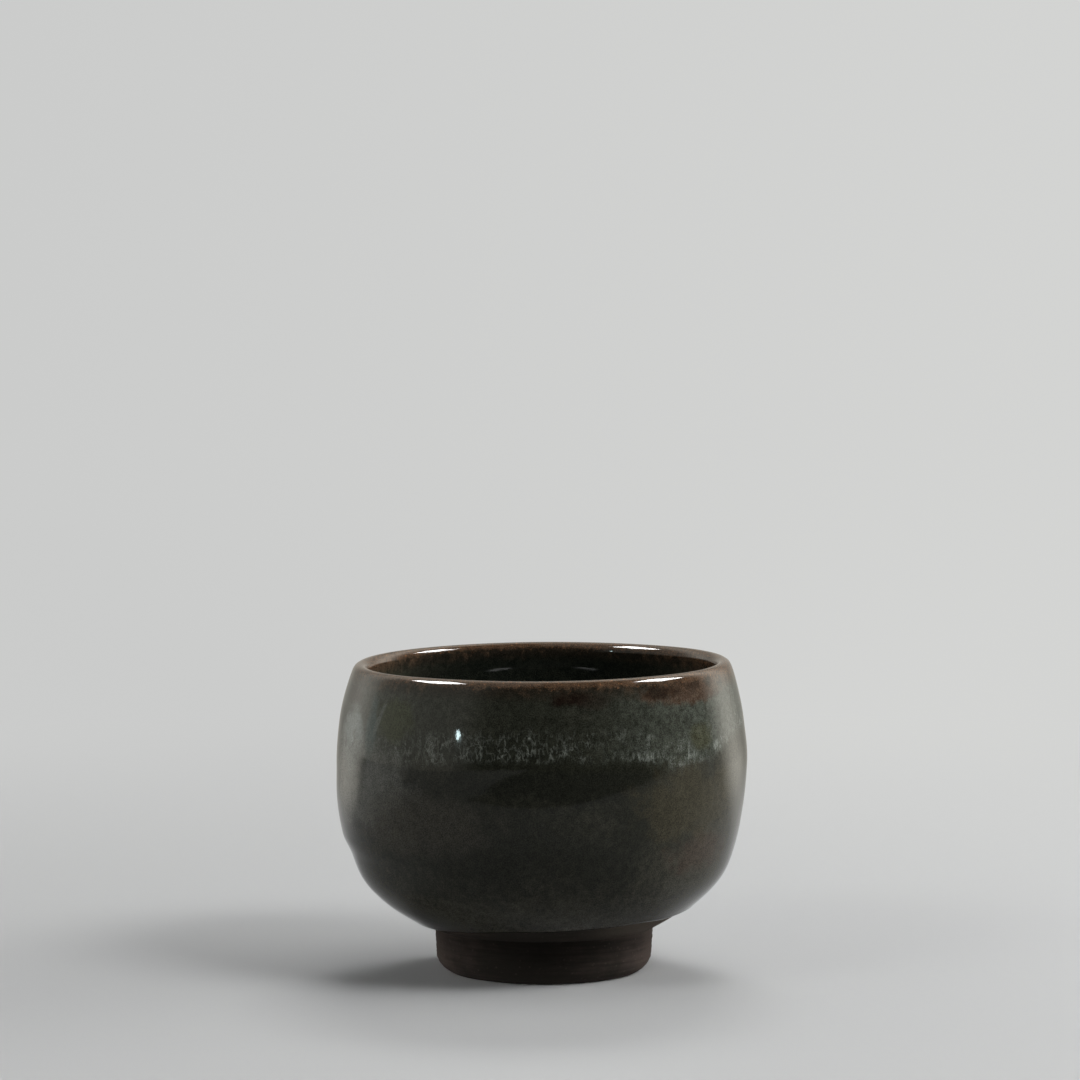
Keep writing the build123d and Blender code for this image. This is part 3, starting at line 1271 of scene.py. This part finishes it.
    def lay_floor(self) -> None:
        """Lays the floor, which fades into the backdrop, and a dark and a pale card on it."""
        bpy.ops.object.select_all(action="DESELECT")
        bpy.ops.mesh.primitive_circle_add(vertices=96, radius=self.floor_radius, fill_type="NGON")
        floor = bpy.context.object
        floor.name = "floor"
        bench = CupBench("paper", 1.0)
        black = (0.0, 0.0, 0.0)
        begin, gone = (distance / MM for distance in self.floor_fade)
        away = bench.rise(bench.radius, begin, gone)
        across, _, _ = bench.parts(bench.heading)
        grey = bench.mix(bench.rise(across, -0.24, 0.24), self.backdrop_left, self.backdrop_right)
        bench.finish(
            Base_Color=bench.mix(away, self.floor_grey, black),
            Emission_Color=bench.mix(away, black, grey),
            Emission_Strength=1.0,
            Roughness=0.8,
            Specular_IOR_Level=0.0,
        )
        floor.data.materials.append(bench.material)
        floor.visible_diffuse = False
        # A dark card that only the glaze mirrors: a painted dark reflection of the shaded room in front of
        # the cup.
        dark_reflection_paper = CupBench("dark_reflection_card", 1.0).finish(Base_Color=(0.02, 0.02, 0.02), Roughness=0.9)
        dark = self.lay_card(place=(0.43, -0.66, 0.0006), size=(1.12, 1.0), material=dark_reflection_paper)
        pale = self.lay_card(place=(0.0, 0.62, 0.0005), size=(2.4, 1.1), material=self.pale_paper())

    def fill_air(self) -> None:
        """Sets the light all round: what lights rough surfaces, what the glaze mirrors, and the backdrop."""
        scene = bpy.context.scene
        scene.view_settings.view_transform = "Standard"
        scene.world = bpy.data.worlds.new("air")
        scene.world.use_nodes = True
        scene.world.node_tree.nodes.clear()
        bench = Bench(scene.world.node_tree)
        heading = bench.add("ShaderNodeTexCoord", output="Generated")
        across, depth, up = bench.parts(heading)
        left = bench.rise(bench.vector("DOT_PRODUCT", heading, (-0.93, 0.37, 0.0)), 0.25, 0.95)
        sides = bench.rise(across, 0.1, 0.7) * 1.7 + bench.rise(across, -0.1, -0.7) * 0.6
        below = bench.rise(up, 0.0, -0.6) * (0.04 + sides)
        spread = left * self.left_level + below * self.low_level
        opening = bench.rise(bench.vector("DOT_PRODUCT", heading, (0.375, -0.927, 0.0)), 0.25, 0.60)
        beside = 1.0 - bench.rise(depth, *self.corner_start)
        left_side = (1.0 - opening) * beside * bench.rise(across, 0.02, -0.02)
        mirrored = left_side * self.side_level + self.rear_glow(bench, across, depth)
        soft = bench.add("ShaderNodeBackground", None, {"Strength": spread})
        glint = bench.add("ShaderNodeBackground", None, {"Color": self.mirror_tint, "Strength": mirrored})
        grey = bench.mix(bench.rise(across, -0.14, 0.14), self.backdrop_left, self.backdrop_right)
        backdrop = bench.add("ShaderNodeBackground", None, {"Color": grey})
        glossy = bench.add("ShaderNodeLightPath", output="Is Glossy Ray")
        direct = bench.add("ShaderNodeLightPath", output="Is Camera Ray")
        air = bench.add("ShaderNodeMixShader", None, {0: glossy, 1: soft, 2: glint})
        air = bench.add("ShaderNodeMixShader", None, {0: direct, 1: air, 2: backdrop})
        bench.add("ShaderNodeOutputWorld", None, {"Surface": air}, None)

    def set_camera(self) -> None:
        """Sets the camera at the photograph's viewing angle."""
        turn = (math.radians(90.0 - self.camera_pitch), math.radians(self.camera_roll), 0.0)
        bpy.ops.object.camera_add(location=self.camera_place, rotation=turn)
        camera = bpy.context.object
        camera.data.lens = self.lens
        camera.data.sensor_width = 36.0
        camera.data.clip_end = 20.0
        bpy.context.scene.camera = camera

    def build(self) -> None:
        """Builds the whole studio."""
        self.lay_floor()
        self.fill_air()
        for light in self.lights:
            light.hang()
        self.set_camera()


def main() -> None:
    """Builds the cup and its studio, and reports each piece."""
    logging.basicConfig(level=logging.INFO, format="%(message)s")
    sizes = CupSizes.from_frame()
    LOG.info("sizes: %s", sizes)
    skin = Skin(sizes)
    marks = HandMarks(skin)
    ClayBody(skin, marks).build()
    GlazeCoats(skin, marks).build()
    Studio().build()


if __name__ == "__main__":
    main()
